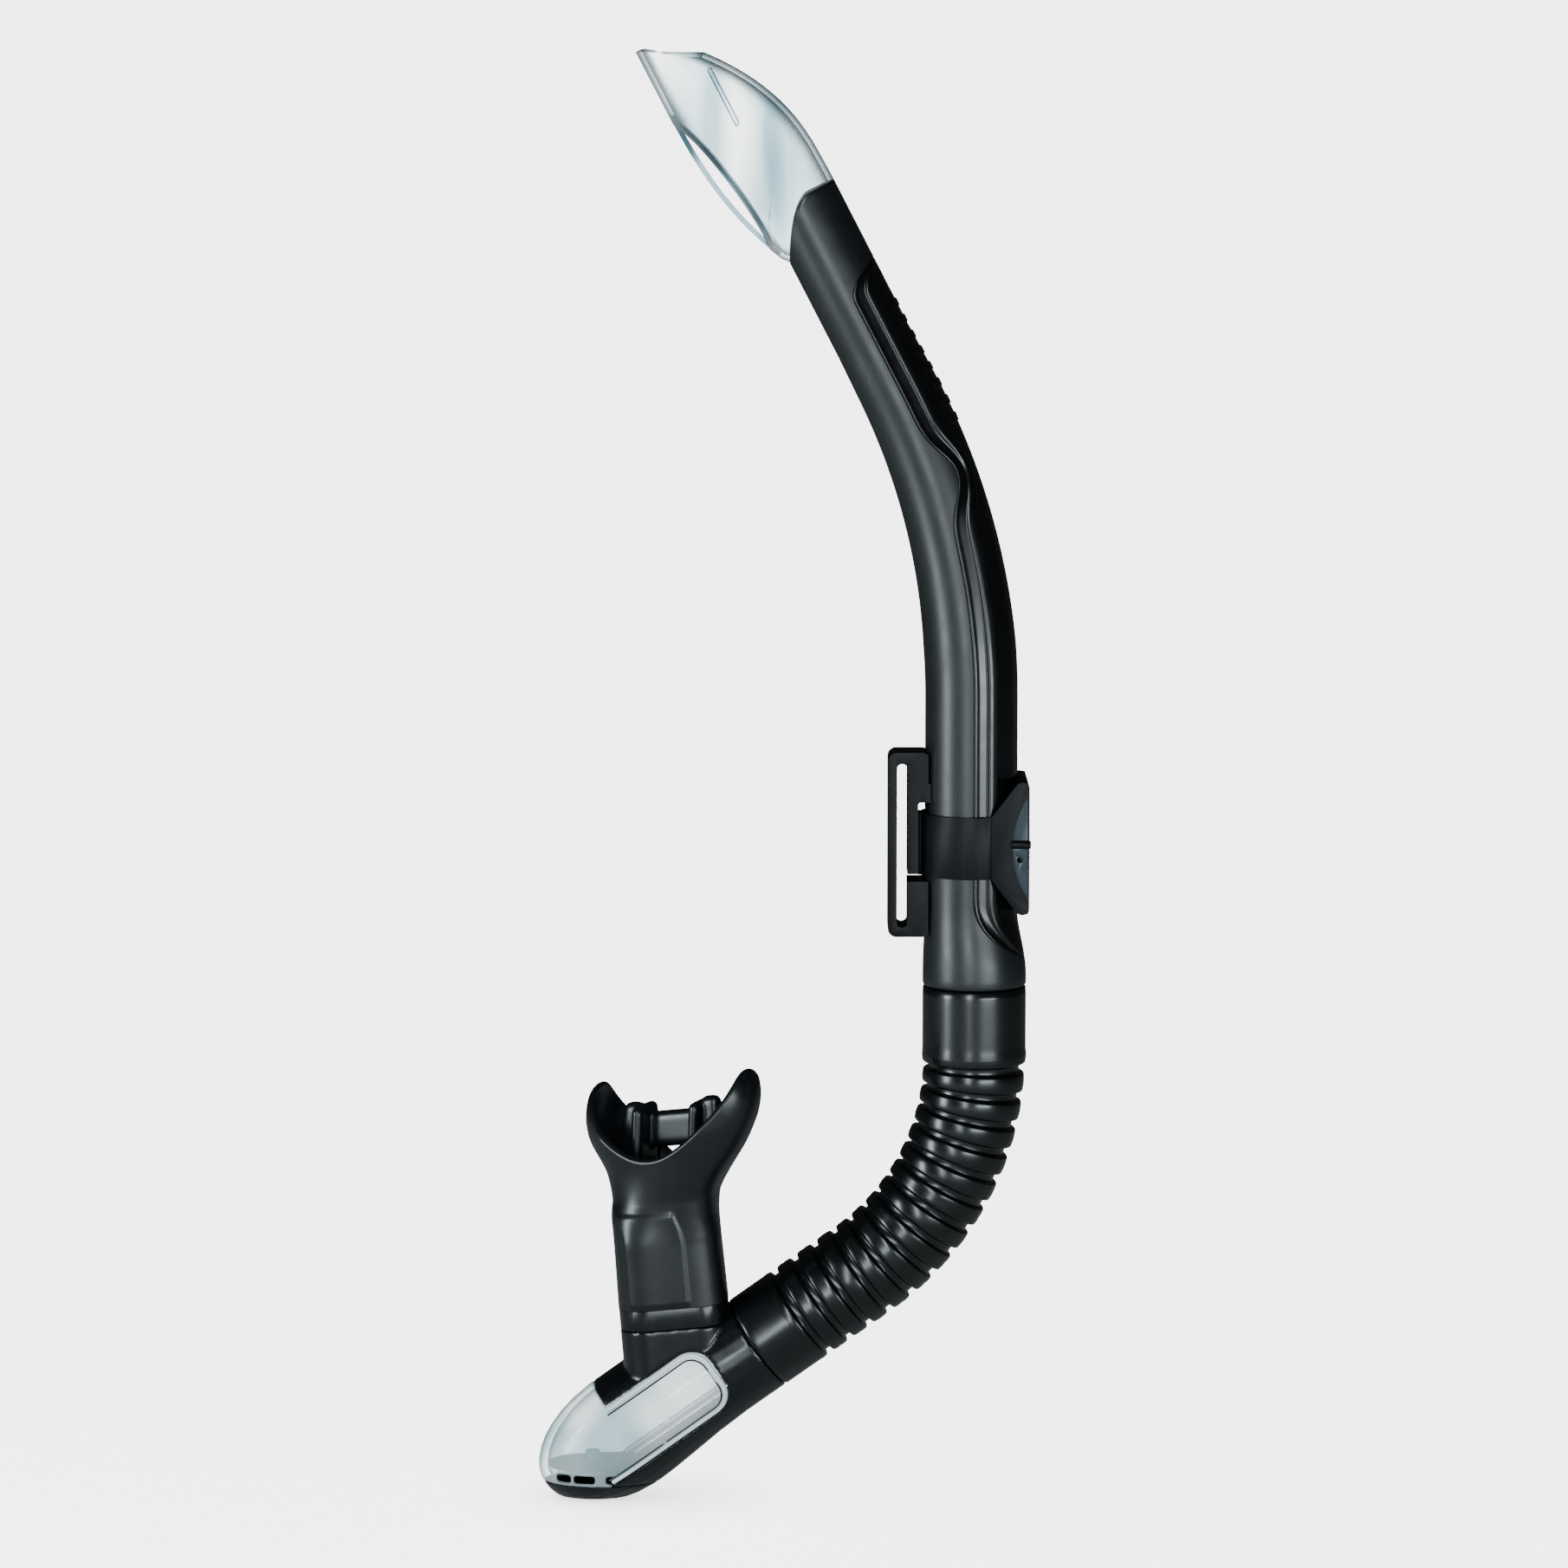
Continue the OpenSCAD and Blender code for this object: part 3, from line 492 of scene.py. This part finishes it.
def guard_section(f, c):
    """Arc length, centre and half sizes at f from seam to tip, easing from the barrel's round."""
    s = seam(c) + f * (GUARD_TOP - seam(c))
    w = clamp(f / (0.02 + 0.22 * (1 + cos(c)) / 2), 0.0, 1.0)
    mid = (front_p(s) + rear_p(s)) / 2 * w
    half = (rear_p(s) - front_p(s)) / 2 * w + TOP_R * (1 - w)
    return s, mid, half, half_q(s) * w + TOP_R * (1 - w)


def guard_point(f, c, inset=0.0):
    s, mid, half, deep = guard_section(f, c)
    return along(s, mid + (half - inset) * cos(c), (deep - inset) * sin(c))


def guard_limit(f):
    """How far round from the back the guard reaches: all the way, or to the rim of the front slot."""
    c = pi
    for _ in range(12):
        s, mid, half, _ = guard_section(f, c)
        if not SLOT_LO < s < SLOT_HI:
            return pi
        c = 0.5 * c + 0.5 * math.acos(clamp((rim_p(s) - mid) / half, -1.0, 1.0))
    return c


def level_cut(ob, height):
    """Takes off what stands above a height."""
    bm = bmesh.new()
    bm.from_mesh(ob.data)
    bmesh.ops.bisect_plane(bm, geom=bm.verts[:] + bm.edges[:] + bm.faces[:], plane_co=(0, 0, height * MM),
                           plane_no=(0, 0, 1), clear_outer=True)
    bm.to_mesh(ob.data)
    bm.free()


def guard():
    rows = []
    for f in span(0.0, 0.995, 90):
        limit = guard_limit(f)
        rows.append([guard_point(f, c) for c in span(-limit, limit, 97)])
    ob = skin("splash_guard.look", rows, wrap=False, angle=60)
    level_cut(ob, RIM_Z)
    m = ob.modifiers.new("wall", "SOLIDIFY")
    m.thickness = GUARD_WALL * MM
    m.offset = -1.0
    m.use_even_offset = True
    round_edges(ob, 0.35, 2, 55)
    return dress(ob, CLEAR, "snorkel_barrel", ["splash_guard"])


def sweep_bar(name, path, radius, material, body="snorkel_barrel"):
    """A round bead along a path of points."""
    rings = []
    for i, p in enumerate(path):
        a, b = Vector(path[max(i - 1, 0)]), Vector(path[min(i + 1, len(path) - 1)])
        t = (b - a).normalized()
        side = t.cross(Vector((0.2, 0.1, 1.0))).normalized()
        up = side.cross(t)
        rings.append([tuple(Vector(p) + radius * (cos(w) * side + sin(w) * up))
                      for w in span(0, 2 * pi * 15 / 16, 16)])
    return dress(skin(name, rings, caps=True), material, body)


def guard_trim():
    """The bead round the slot, the vane that stands in it, and the baffle. The bead and the vane wear a
    darker copy of the clear plastic, painted shade for its wall seen edge-on.
    """
    fs = [f for f in span(0.0, 0.95, 600) if guard_limit(f) < pi - 0.02]
    for side, tag in ((1, "far"), (-1, "near")):
        path = [guard_point(f, side * guard_limit(f), 0.8) for f in fs[::6]]
        sweep_bar("slot_bead_" + tag, path, 0.75, SHADED_RIM)
    rings = []
    for s in span(SLOT_LO - 3, SLOT_HI + 3, 40):
        p = front_p(s)
        rings.append([along(s, p + a, q) for a, q in ((VANE_FRONT, -VANE_HALF), (VANE_FRONT, VANE_HALF),
                                                      (VANE_BACK, VANE_HALF), (VANE_BACK, -VANE_HALF))])
    vane = skin("front_vane", rings, caps=True)
    round_edges(vane, 0.35, 3, 50)
    dress(vane, SHADED_RIM, "snorkel_barrel")
    dress(refined("splash_baffle", bevel=0.3), CLEAR, "snorkel_barrel", ["splash_baffle"])


# ---- hose ----
def hose_frame(at):
    """Centre, outward direction and run direction in the XZ plane, at length at past the bend's start."""
    a = clamp(at / HOSE_R, 0.0, HOSE_BEND)
    x, z = HOSE_X - HOSE_R * (1 - cos(a)), HOSE_Z - HOSE_R * sin(a)
    past = at if at < 0 else max(0.0, at - HOSE_RUN)
    return (x - past * sin(a), z - past * cos(a)), (cos(a), -sin(a)), (-sin(a), -cos(a))


def hose_ring(at, r, n=96):
    (x, z), (ox, oz), _ = hose_frame(at)
    return [(x + r * cos(w) * ox, r * sin(w), z + r * cos(w) * oz) for w in span(0, 2 * pi * (n - 1) / n, n)]


def groove(k):
    return GROOVE_0 + RIB_PITCH * (k - 1)


# A cuff's end as (distance in, cut), and a groove as (distance from its middle, share of its depth)
ROUNDED_END = ((0, 0.7), (0.08, 0.35), (0.3, 0.08))
GROOVE_SHAPE = ((0, 1), (0.55, 1), (0.85, 0.96), (1.02, 0.82), (1.12, 0.6), (1.20, 0.34), (1.30, 0.15),
                (1.48, 0.04), (1.75, 0.0), (2.6, -0.06), (RIB_PITCH / 2, -0.09))


def hose_radius(at):
    """Crown, groove or cuff radius at a length along the hose."""
    k = round((at - GROOVE_0) / RIB_PITCH) + 1
    if k < 1:
        return CUFF_R
    crown = RIB_R if k > 1 or at > groove(1) else CUFF_R
    if k > GROOVES:
        return RIB_R
    x = abs(at - groove(k))
    for (x0, d0), (x1, d1) in zip(GROOVE_SHAPE, GROOVE_SHAPE[1:]):
        if x <= x1:
            depth = d0 + (d1 - d0) * (x - x0) / (x1 - x0)
            return crown - (crown - ROOT_R) * depth
    return crown


def hose_piece(name, k0, k1, hinge, nodes):
    """A length of hose from groove k0 to groove k1. The place of the groove called hinge is found but not
    used.
    """
    lo = CUFF_TOP if k0 is None else groove(k0)
    hi = HOSE_RUN + HOSE_END if k1 is None else groove(k1)
    stops = {lo, hi}
    for k in range(1, GROOVES + 1):
        for x, _ in GROOVE_SHAPE:
            stops.update(v for v in (groove(k) - x, groove(k) + x) if lo < v < hi)
    stops.update(v for v in span(-21.0, 1.0, 12) + span(groove(GROOVES) + 2.6, HOSE_RUN + HOSE_END - 1, 10)
                 if lo < v < hi)
    stops = sorted(stops)
    stops = [v for i, v in enumerate(stops) if i == 0 or v - stops[i - 1] > 0.02 or v == hi]
    rings = []
    if k0 is None:
        rings += [hose_ring(lo + ahead, CUFF_R - cut) for ahead, cut in ROUNDED_END]
        stops = [v for v in stops if v > lo + 0.6]
    if k1 is None:
        stops = [v for v in stops if v < hi - 0.6]
    rings += [hose_ring(v, hose_radius(v)) for v in stops]
    if k1 is None:
        rings += [hose_ring(hi - ahead, RIB_R - cut) for ahead, cut in reversed(ROUNDED_END)]
    rings += [hose_ring(v, BORE_R) for v in span(hi, lo, 14)]
    ob = skin(name, rings, loop=True, angle=50)
    dress(ob, RUBBER)
    (x, z), _, (dx, dz) = hose_frame(groove(hinge))
    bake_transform(ob)
    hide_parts(*nodes)
    return ob


def hose():
    hose_piece("hose_1", None, 3, 2, ["hose_upper_cuff"])
    hose_piece("hose_2", 3, 5, 4, ["hose_link_1"])
    hose_piece("hose_3", 5, 8, 6, ["hose_link_2"])
    hose_piece("hose_4", 8, 10, 9, ["hose_link_3"])
    hose_piece("hose_5", 10, 12, 11, ["hose_link_4", "hose_link_5"])
    hose_piece("hose_6", 12, None, 13, ["hose_lower_cuff"])


# ---- mouthpiece ----
def mouth_c(v):
    """How far the neck's centre leans to the left at height v."""
    return -math.tan(LEAN) * (min(v, 26) - 26 * ease(ramp(v, 27, 46)))


def mouth_hx(v):
    neck = NECK_HALF_X - 0.5 * ramp(v, 0, 26)
    return (neck + (FLANGE_HALF + 0.5 - NECK_HALF_X) * sin(pi / 2 * ramp(v, 31, 58)) ** 1.5
            - 3.4 * ramp(v, 58, 68) ** 2)


def mouth_hy(v):
    return NECK_HALF_Y + 4.2 * ramp(v, 31, 52) ** 1.2


def mouth_place(x, y, v):
    """Turns and tilts a point of the section at height v, and puts it on the leaning neck."""
    a = -FLANGE_TURN * ease(ramp(v, 18, 42))
    gx = x * cos(a) - y * sin(a)
    gz = gx * sin(LEAN + FLANGE_TILT * ramp(v, 24, 50))
    return (MOUTH_X + mouth_c(v) + gx, x * sin(a) + y * cos(a), MOUTH_Z + v + gz)


def panel(x, y, v):
    """How far the flat panel stands out of the near side of the neck."""
    across = ease(ramp(x, -12.9, -12.0)) * (1 - ease(ramp(x, 4.3, 5.2)))
    up = ease(ramp(v, 0.5, 1.4)) * (1 - ease(ramp(v, 27.2, 28.6)))
    return 0.55 * across * up if y < 0 else 0.0


def mouth_point(f, c, t, lift=0.0):
    """A point f of the way from the base to the rim, c round, t inside the outer skin."""
    rim = (LOBE_V + DIP_V) / 2 + (LOBE_V - DIP_V) / 2 * cos(2 * c) - FAR_DROP * max(0.0, sin(c)) ** 2
    v = 60 * f if f < 0.5 else 30 + (2 * f - 1) * (rim - 30)
    k = 0.62 + 0.3 * ramp(v, 20, 40)
    x = (mouth_hx(v) - t) * sgn_pow(cos(c), k)
    y = (mouth_hy(v) - t) * sgn_pow(sin(c), k)
    if t == 0:
        y -= panel(x, y, v)
    return mouth_place(x, y, v + lift)


def mouthpiece():
    cols = span(0, 2 * pi * 191 / 192, 192)
    rings = [[mouth_point(f, c, 0) for c in cols] for f in span(0, 1, 84)]
    for w in span(0, pi, 9)[1:-1]:
        t = MOUTH_WALL / 2 * (1 - cos(w))
        rings.append([mouth_point(1, c, max(t, 1e-6), MOUTH_WALL / 2 * sin(w)) for c in cols])
    rings += [[mouth_point(f, c, MOUTH_WALL) for c in cols] for f in span(1, 0, 60)]
    ob = skin("mouthpiece.look", rings, loop=True, angle=60)
    dress(ob, SILICONE, "mouth_unit", ["mouthpiece"])
    arch = refined("bite_arch", voxel=0.4, smooth=24)
    dress(arch, SILICONE, "mouth_unit", ["bite_arch"])


# ---- purge housing's window ----
POD_X, POD_Z = -44.88, -149.33
RUN = (-0.8151, -0.5793)     # along the pod, away from the hose
RISE = (-0.5793, 0.8151)
WINDOW_BACK, WINDOW_TOP, WINDOW_LOW, WINDOW_TURN = 9, 11.7, -8.3, 7
LINE_INSET = 1.95
LINE_R = 0.27


def pod_point(a, e, side, sink=0.0):
    """A point on the pod's skin: a along the pod, e up its side, side -1 near or 1 far."""
    nose = math.sqrt(max(0.0, 1 - (max(0.0, a - 42) / 29) ** 2))
    up = 2 + (12.7 + 3.6 * ease(ramp(a, 0, 30))) * nose
    down = (16.7 + 2.2 * ease(ramp(a, 10, 45))) * nose - 2
    width = (14.7 + 0.7 * ease(ramp(a, 0, 20))) * nose
    across = (e - (up - down) / 2) / ((up + down) / 2)
    y = side * (width * math.sqrt(max(0.0, 1 - across * across)) - sink)
    return (POD_X + a * RUN[0] + e * RISE[0], y, POD_Z + a * RUN[1] + e * RISE[1])


def window_path(inset, side, sink, top_end, low_end):
    """The window's outline from its top edge, round its back, to its lower edge."""
    back, top = WINDOW_BACK + inset, WINDOW_TOP - inset
    low, turn = WINDOW_LOW + inset, WINDOW_TURN - inset
    flat = [(a, top) for a in span(top_end, back + turn, 24)]
    upper = [(back + turn - turn * sin(w), top - turn + turn * cos(w)) for w in span(0, pi / 2, 10)[1:]]
    lower = [(back + turn - turn * cos(w), low + turn - turn * sin(w)) for w in span(0, pi / 2, 10)]
    run = [(a, low) for a in span(back + turn, low_end, 30)[1:]]
    return [pod_point(a, e, side, sink) for a, e in flat + upper + lower + run]


def window_trim():
    """The clear rim round the window and the dark seal line inside it, broken once on the lower edge."""
    for side, tag in ((-1, "near"), (1, "far")):
        rim = window_path(0.85, side, 0.45, 41.5, 53.0)
        sweep_bar("window_rim_" + tag, rim, 0.72, PANE, "mouth_unit")
        line = window_path(LINE_INSET, side, 0.12, 42.5, 33.0)
        sweep_bar("seal_line_" + tag, line, LINE_R, LINE, "mouth_unit")
        rest = [pod_point(a, WINDOW_LOW + LINE_INSET, side, 0.12) for a in span(34.2, 53.5, 20)]
        sweep_bar("seal_line_low_" + tag, rest, LINE_R, LINE, "mouth_unit")


# ---- the rest, on the CAD's own shapes ----
def carried():
    """CAD nodes shown as they are, or as copies with rounded edges."""
    rows = [
        ("keeper_loop", "keeper", KEEPER, "keeper_rubber", dict(bevel=0.6)),
        ("keeper_band", "keeper", KEEPER, "keeper_rubber", dict(bevel=0.35)),
        ("keeper_lock_plate", "keeper", PLATE, "lock_plate_plastic", dict(bevel=0.3)),
        ("keeper_pegs", "keeper", KEEPER, "keeper_rubber", dict(bevel=0.25)),
        ("purge_housing", "mouth_unit", HOUSING, "housing_black", dict(voxel=0.45, smooth=10)),
        ("reservoir_cover", "mouth_unit", WINDOW, "clear_plastic", dict(voxel=0.4, smooth=8)),
        ("exhaust_cap", "mouth_unit", HOUSING, "housing_black", dict(voxel=0.4, smooth=4)),
        ("mouthpiece_band", "mouth_unit", HOUSING, "housing_black", dict(bevel=0.35)),
    ]
    for node, body, material, slot, how in rows:
        dress(refined(node, **how), material, body, [node])
    plain = {"valve_plate": PLATE, "purge_valve": VALVE,
             "upper_hose_connector": SLEEVE, "lower_hose_connector": SLEEVE}
    for node, material in plain.items():
        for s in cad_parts[node].material_slots:
            s.material = material


# ---- studio ----
PAPER_GLOW = 4.5         # the floor as the eye sees it; what it throws on the object stays dim
FLOOR_Z_M = -0.1932
FLOOR_HALF_M = 60.0
CAMERA_AIM_M = (-0.034, 0, 0.0171)
CAMERA_UP = radians(7.5)
CAMERA_FAR_M = 1.885


def floor():
    mesh = bpy.data.meshes.new("floor")
    half, z = FLOOR_HALF_M, FLOOR_Z_M
    corners = [(-half, -half, z), (half, -half, z), (half, half, z), (-half, half, z)]
    mesh.from_pydata(corners, [], [(0, 1, 2, 3)])
    ob = put("floor", mesh)
    mat, nodes, links, bsdf, out = node_tree("paper")
    links.new(shades(nodes, links, noise(nodes, links, 4.0), (0.86, 0.86, 0.86), (0.88, 0.88, 0.88)),
              bsdf.inputs["Base Color"])
    bsdf.inputs["Roughness"].default_value = 0.9
    bsdf.inputs["Specular IOR Level"].default_value = 0.1
    # Painted contact shadow: ambient occlusion dims the floor's glow near the object
    contact_shadow = nodes.new("ShaderNodeAmbientOcclusion")
    contact_shadow.inputs["Distance"].default_value = 0.03
    shade = nodes.new("ShaderNodeMapRange")
    shade.inputs["To Min"].default_value = 0.35 * PAPER_GLOW
    shade.inputs["To Max"].default_value = PAPER_GLOW
    links.new(contact_shadow.outputs["AO"], shade.inputs["Value"])
    eye = nodes.new("ShaderNodeLightPath")
    lit = nodes.new("ShaderNodeMath")
    lit.operation = "MULTIPLY"
    links.new(shade.outputs["Result"], lit.inputs[0])
    links.new(eye.outputs["Is Camera Ray"], lit.inputs[1])
    glow = nodes.new("ShaderNodeEmission")
    links.new(lit.outputs["Value"], glow.inputs["Strength"])
    both = nodes.new("ShaderNodeAddShader")
    links.new(bsdf.outputs["BSDF"], both.inputs[0])
    links.new(glow.outputs["Emission"], both.inputs[1])
    links.new(both.outputs["Shader"], out.inputs["Surface"])
    mesh.materials.append(mat)


def area(name, place, aim, size, power, color):
    data = bpy.data.lights.new(name, "AREA")
    data.shape = "RECTANGLE"
    data.size, data.size_y = size
    data.energy = power
    data.color = color
    ob = put(name, data)
    ob.location = place
    ob.rotation_euler = (Vector(aim) - Vector(place)).to_track_quat("-Z", "Y").to_euler()


def studio():
    """Three narrow soft lights, and a world that is pale to the eye and dim to the object."""
    cool = (0.86, 0.97, 1.0)
    area("key", (-0.30, -1.45, 0.35), (0, 0, 0.03), (0.16, 1.1), 15.0, cool)
    area("left", (-1.1, -0.55, 0.05), (-0.06, 0, -0.10), (0.20, 0.6), 12.0, cool)
    area("low", (0.55, -0.95, -0.05), (0.0, 0, -0.10), (0.6, 0.10), 7.0, cool)
    world = bpy.data.worlds.new("studio")
    bpy.context.scene.world = world
    world.use_nodes = True
    nodes, links = world.node_tree.nodes, world.node_tree.links
    eye = nodes.new("ShaderNodeLightPath")
    strength = nodes.new("ShaderNodeMapRange")
    strength.inputs["To Min"].default_value = 0.035
    strength.inputs["To Max"].default_value = PAPER_GLOW
    links.new(eye.outputs["Is Camera Ray"], strength.inputs["Value"])
    links.new(strength.outputs["Result"], nodes["Background"].inputs["Strength"])
    nodes["Background"].inputs["Color"].default_value = (1, 1, 1, 1)


def camera():
    data = bpy.data.cameras.new("camera")
    data.lens = 150
    data.sensor_width = 36
    data.clip_end = 200
    ob = put("camera", data)
    back = Vector((0, -cos(CAMERA_UP), sin(CAMERA_UP)))
    ob.location = Vector(CAMERA_AIM_M) + back * CAMERA_FAR_M
    ob.rotation_euler = (-back).to_track_quat("-Z", "Y").to_euler()
    bpy.context.scene.camera = ob


barrel()
inlay()
grip_bars()
guard()
guard_trim()
hose()
mouthpiece()
window_trim()
carried()
floor()
studio()
camera()
